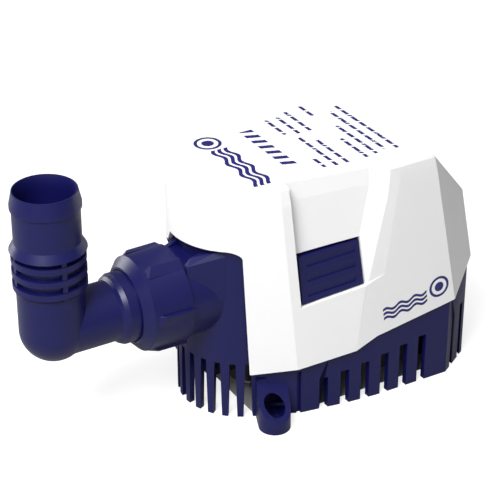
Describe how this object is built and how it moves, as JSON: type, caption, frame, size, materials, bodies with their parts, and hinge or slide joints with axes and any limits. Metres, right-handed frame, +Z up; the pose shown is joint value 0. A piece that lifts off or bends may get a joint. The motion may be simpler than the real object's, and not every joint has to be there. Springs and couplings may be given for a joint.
{
  "type": "bilge pump",
  "caption": "Submersible automatic bilge pump: white lift-off cover, navy slotted strainer base with screw feet, and a swivelling hose-barb elbow on a union nut.",
  "frame": {"origin": "on the floor, under the middle of the whole object's box", "axes": "+Z up, +X from the discharge elbow towards the rear of the pump body, +Y across, to the far side from the near release tab"},
  "size_m": [0.2161, 0.0924, 0.124],
  "materials": {
    "cover_white": "moulded white plastic, satin",
    "navy_plastic": "moulded navy plastic, satin gloss",
    "black_plastic": "moulded black glass-filled plastic",
    "rubber": "moulded black nitrile rubber",
    "float_plastic": "hollow moulded float, taken as solid light plastic",
    "stainless": "stainless steel, fine turned",
    "plated_steel": "zinc-plated drawn steel",
    "brass": "sintered and machined brass",
    "ferrite": "pressed ferrite",
    "laminations": "stacked electrical steel",
    "copper": "enamelled copper wire",
    "carbon": "pressed carbon",
    "circuit_board": "green circuit board",
    "glass": "clear glass tube"
  },
  "bodies": {
    "root": {"top_cover": "cover_white", "strainer_base": "navy_plastic", "volute_housing": "black_plastic", "inlet_plate": "black_plastic", "motor_end_cap": "black_plastic", "motor_housing": "black_plastic", "motor_housing_cap": "black_plastic", "valve_seat": "black_plastic", "switch_housing": "black_plastic", "switch_lid": "black_plastic", "shaft_seal": "rubber", "motor_housing_seal": "rubber", "outlet_gasket": "rubber", "cable_grommet": "rubber", "flap_pin": "stainless", "float_pin": "stainless", "brush_spring_near": "stainless", "brush_spring_far": "stainless", "inlet_plate_screw_1": "stainless", "inlet_plate_screw_2": "stainless", "inlet_plate_screw_3": "stainless", "cover_screw_1": "stainless", "cover_screw_2": "stainless", "cover_screw_3": "stainless", "cover_screw_4": "stainless", "motor_can": "plated_steel", "lower_bearing": "brass", "upper_bearing": "brass", "magnet_near": "ferrite", "magnet_far": "ferrite", "brush_near": "carbon", "brush_far": "carbon", "switch_board": "circuit_board", "reed_switch": "glass"},
    "rotor": {"motor_shaft": "stainless", "armature_core": "laminations", "armature_windings": "copper", "commutator": "copper", "impeller": "black_plastic", "impeller_nut": "brass"},
    "tab_near": {"release_tab_near": "navy_plastic"},
    "tab_far": {"release_tab_far": "navy_plastic"},
    "nut": {"union_nut": "navy_plastic"},
    "elbow": {"discharge_elbow": "navy_plastic"},
    "float_unit": {"float": "float_plastic", "float_magnet": "ferrite"},
    "flap": {"check_valve_flap": "rubber"}
  },
  "joints": [
    {"name": "impeller_spin", "type": "hinge", "parent": "root", "child": "rotor", "pos_m": [0.02, 0, 0.05], "axis": [0, 0, 1], "continuous": true},
    {"name": "tab_near_press", "type": "hinge", "parent": "root", "child": "tab_near", "pos_m": [0.0235, -0.0364, 0.0289], "axis": [-1, 0, 0], "range_deg": [0, 3], "stiffness_Nm_per_rad": 3},
    {"name": "tab_far_press", "type": "hinge", "parent": "root", "child": "tab_far", "pos_m": [0.0235, 0.0364, 0.0289], "axis": [1, 0, 0], "range_deg": [0, 3], "stiffness_Nm_per_rad": 3},
    {"name": "nut_turn", "type": "hinge", "parent": "root", "child": "nut", "pos_m": [-0.045, 0, 0.0583], "axis": [1, 0, 0], "continuous": true},
    {"name": "elbow_swivel", "type": "hinge", "parent": "root", "child": "elbow", "pos_m": [-0.053, 0, 0.0583], "axis": [1, 0, 0], "range_deg": [-90, 90]},
    {"name": "float_pivot", "type": "hinge", "parent": "root", "child": "float_unit", "pos_m": [0.052, 0, 0.033], "axis": [0, -1, 0], "range_deg": [0, 22]},
    {"name": "flap_swing", "type": "hinge", "parent": "root", "child": "flap", "pos_m": [-0.0276, 0, 0.0674], "axis": [0, 1, 0], "range_deg": [0, 55]}
  ]
}
